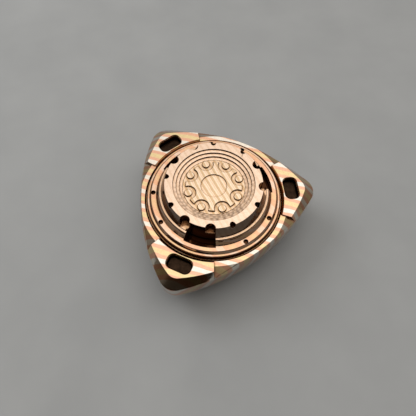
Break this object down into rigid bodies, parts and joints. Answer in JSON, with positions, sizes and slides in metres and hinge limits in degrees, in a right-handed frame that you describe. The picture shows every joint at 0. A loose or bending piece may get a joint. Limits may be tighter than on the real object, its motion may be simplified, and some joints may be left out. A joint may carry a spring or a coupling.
{
  "type": "fidget spinner",
  "caption": "Three-cornered laminated-metal hand spinner turning on a small ball bearing between two stepped round finger buttons.",
  "frame": {"origin": "on the spin axis at the bearing's middle plane", "axes": "+Z along the spin axis through the top button; +X towards a corner of the body"},
  "size_m": [0.047, 0.0484, 0.0204],
  "materials": {
    "laminated_body": "polished laminated copper, brass and nickel silver",
    "laminated_flange": "polished laminated copper, brass and nickel silver",
    "laminated_button": "polished laminated copper, brass and nickel silver",
    "laminated_disc": "polished laminated copper, brass and nickel silver, fine wavy layers",
    "dark_weight": "dark browned, satin",
    "lock_ring_brass": "turned, satin",
    "bearing_steel": "ground",
    "ball_chrome": "mirror polished",
    "cage_brass": "satin",
    "shield_steel": "pressed, satin",
    "stud_steel": "black oxide"
  },
  "bodies": {
    "hub": {"top_button": "laminated_button", "bottom_button": "laminated_button", "top_face_disc": "laminated_disc", "bottom_face_disc": "laminated_disc", "top_flange": "laminated_flange", "bottom_flange": "laminated_flange", "top_washer": "shield_steel", "bottom_washer": "shield_steel", "axle_stud": "stud_steel", "bearing_inner_race": "bearing_steel"},
    "rotor": {"spinner_body": "laminated_body", "corner_weight_1": "dark_weight", "corner_weight_2": "dark_weight", "corner_weight_3": "dark_weight", "bearing_lock_ring": "lock_ring_brass", "bearing_outer_race": "bearing_steel", "bearing_shield_top": "shield_steel", "bearing_shield_bottom": "shield_steel", "snap_ring_top": "shield_steel", "snap_ring_bottom": "shield_steel"},
    "ball_set": {"bearing_balls": "ball_chrome", "bearing_cage": "cage_brass"}
  },
  "joints": [
    {"name": "body_spin", "type": "hinge", "parent": "hub", "child": "rotor", "pos_m": [0, 0, 0], "axis": [0, 0, 1], "continuous": true},
    {"name": "ball_set_spin", "type": "hinge", "parent": "hub", "child": "ball_set", "pos_m": [0, 0, 0], "axis": [0, 0, 1], "continuous": true}
  ],
  "couplings": [
    {"joint": "ball_set_spin", "follows": "body_spin", "ratio": 0.5833}
  ]
}
